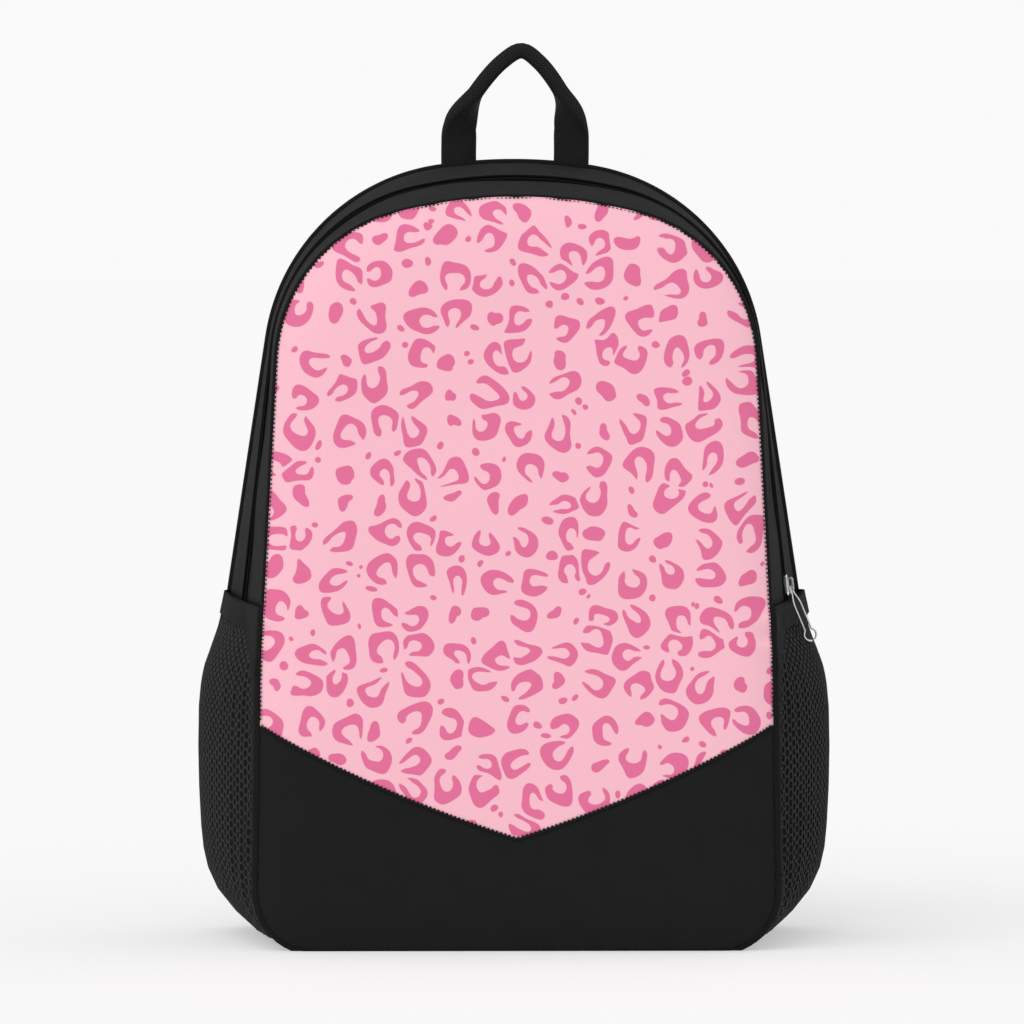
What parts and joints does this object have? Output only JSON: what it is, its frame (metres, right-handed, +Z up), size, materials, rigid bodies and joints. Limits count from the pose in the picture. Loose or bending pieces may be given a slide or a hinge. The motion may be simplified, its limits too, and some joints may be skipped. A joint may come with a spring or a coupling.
{
  "type": "school backpack",
  "caption": "Arched zip-top school backpack with printed front, plain V-shaped foot, side mesh pockets, webbing grab handle, padded shoulder straps and a wire-pull zip slider.",
  "frame": {"origin": "middle of the bag's footprint, on the floor", "axes": "+Z up, the printed front faces -Y, +X to the viewer's right when the front is seen"},
  "size_m": [0.3478, 0.2094, 0.495],
  "materials": {
    "black_cloth": "matt black twill",
    "printed_cloth": "light pink cloth with a darker pink leopard spot print",
    "lining": "thin black lining",
    "foam": "soft foam sheet",
    "air_mesh": "black air mesh over foam",
    "strap_cloth": "padded black cloth",
    "piping": "black bias binding",
    "pocket_net": "open black knitted net",
    "elastic": "black elastic band",
    "webbing": "black woven webbing",
    "zip_tape": "black woven zip tape",
    "zip_coil": "black nylon coil",
    "buckle_plastic": "black moulded plastic",
    "board": "stiff plastic sheet",
    "slider_metal": "bright nickel plate"
  },
  "bodies": {
    "bag": {"base_panel": "black_cloth", "side_panel_right": "black_cloth", "side_panel_left": "black_cloth", "rear_gusset": "black_cloth", "zip_tape_rear": "zip_tape", "zip_coil_rear": "zip_coil", "zip_end_tab_right": "black_cloth", "zip_end_tab_left": "black_cloth", "print_panel_lower": "printed_cloth", "front_foot_panel": "black_cloth", "piping_front": "piping", "piping_back": "piping", "back_panel": "black_cloth", "back_foam": "foam", "back_lining": "lining", "back_pad_right": "air_mesh", "back_pad_left": "air_mesh", "lumbar_pad": "air_mesh", "strap_yoke": "black_cloth", "base_board": "board", "inner_sleeve": "lining", "sleeve_hem": "piping", "pocket_net_right": "pocket_net", "pocket_net_left": "pocket_net", "pocket_hem_right": "elastic", "pocket_hem_left": "elastic", "handle_foot_right": "webbing", "handle_foot_left": "webbing", "anchor_tab_right": "black_cloth", "anchor_tab_left": "black_cloth"},
    "flap": {"print_panel_upper": "printed_cloth", "front_gusset": "black_cloth", "zip_tape_front": "zip_tape", "zip_coil_front": "zip_coil", "piping_flap": "piping"},
    "slider": {"zip_slider": "slider_metal"},
    "pull": {"zip_pull": "slider_metal"},
    "handle": {"grab_handle": "webbing"},
    "strap_right": {"strap_pad_right": "strap_cloth", "strap_binding_right": "piping", "lock_loop_right": "webbing", "ladder_lock_right": "buckle_plastic", "strap_webbing_right": "webbing"},
    "strap_left": {"strap_pad_left": "strap_cloth", "strap_binding_left": "piping", "lock_loop_left": "webbing", "ladder_lock_left": "buckle_plastic", "strap_webbing_left": "webbing"}
  },
  "joints": [
    {"name": "flap_open", "type": "hinge", "parent": "bag", "child": "flap", "pos_m": [0, -0.1053, 0.187], "axis": [1, 0, 0], "range_deg": [0, 60]},
    {"name": "slider_travel", "type": "slide", "parent": "bag", "child": "slider", "axis": [-0.1052, 0, 0.9945], "range_m": [0, 0.11]},
    {"name": "pull_swing", "type": "hinge", "parent": "slider", "child": "pull", "pos_m": [0.15157, -0.02384, 0.19452], "axis": [-0.1475, -0.9889, -0.0156], "range_deg": [0, 140]},
    {"name": "handle_fold", "type": "hinge", "parent": "bag", "child": "handle", "pos_m": [0, 0.05975, 0.431], "axis": [1, 0, 0], "range_deg": [-60, 60], "stiffness_Nm_per_rad": 0.02},
    {"name": "strap_swing_right", "type": "hinge", "parent": "bag", "child": "strap_right", "pos_m": [0.046, 0.06385, 0.399], "axis": [1, 0, 0], "range_deg": [0, 20]},
    {"name": "strap_swing_left", "type": "hinge", "parent": "bag", "child": "strap_left", "pos_m": [-0.046, 0.06385, 0.399], "axis": [1, 0, 0], "range_deg": [0, 20]}
  ]
}
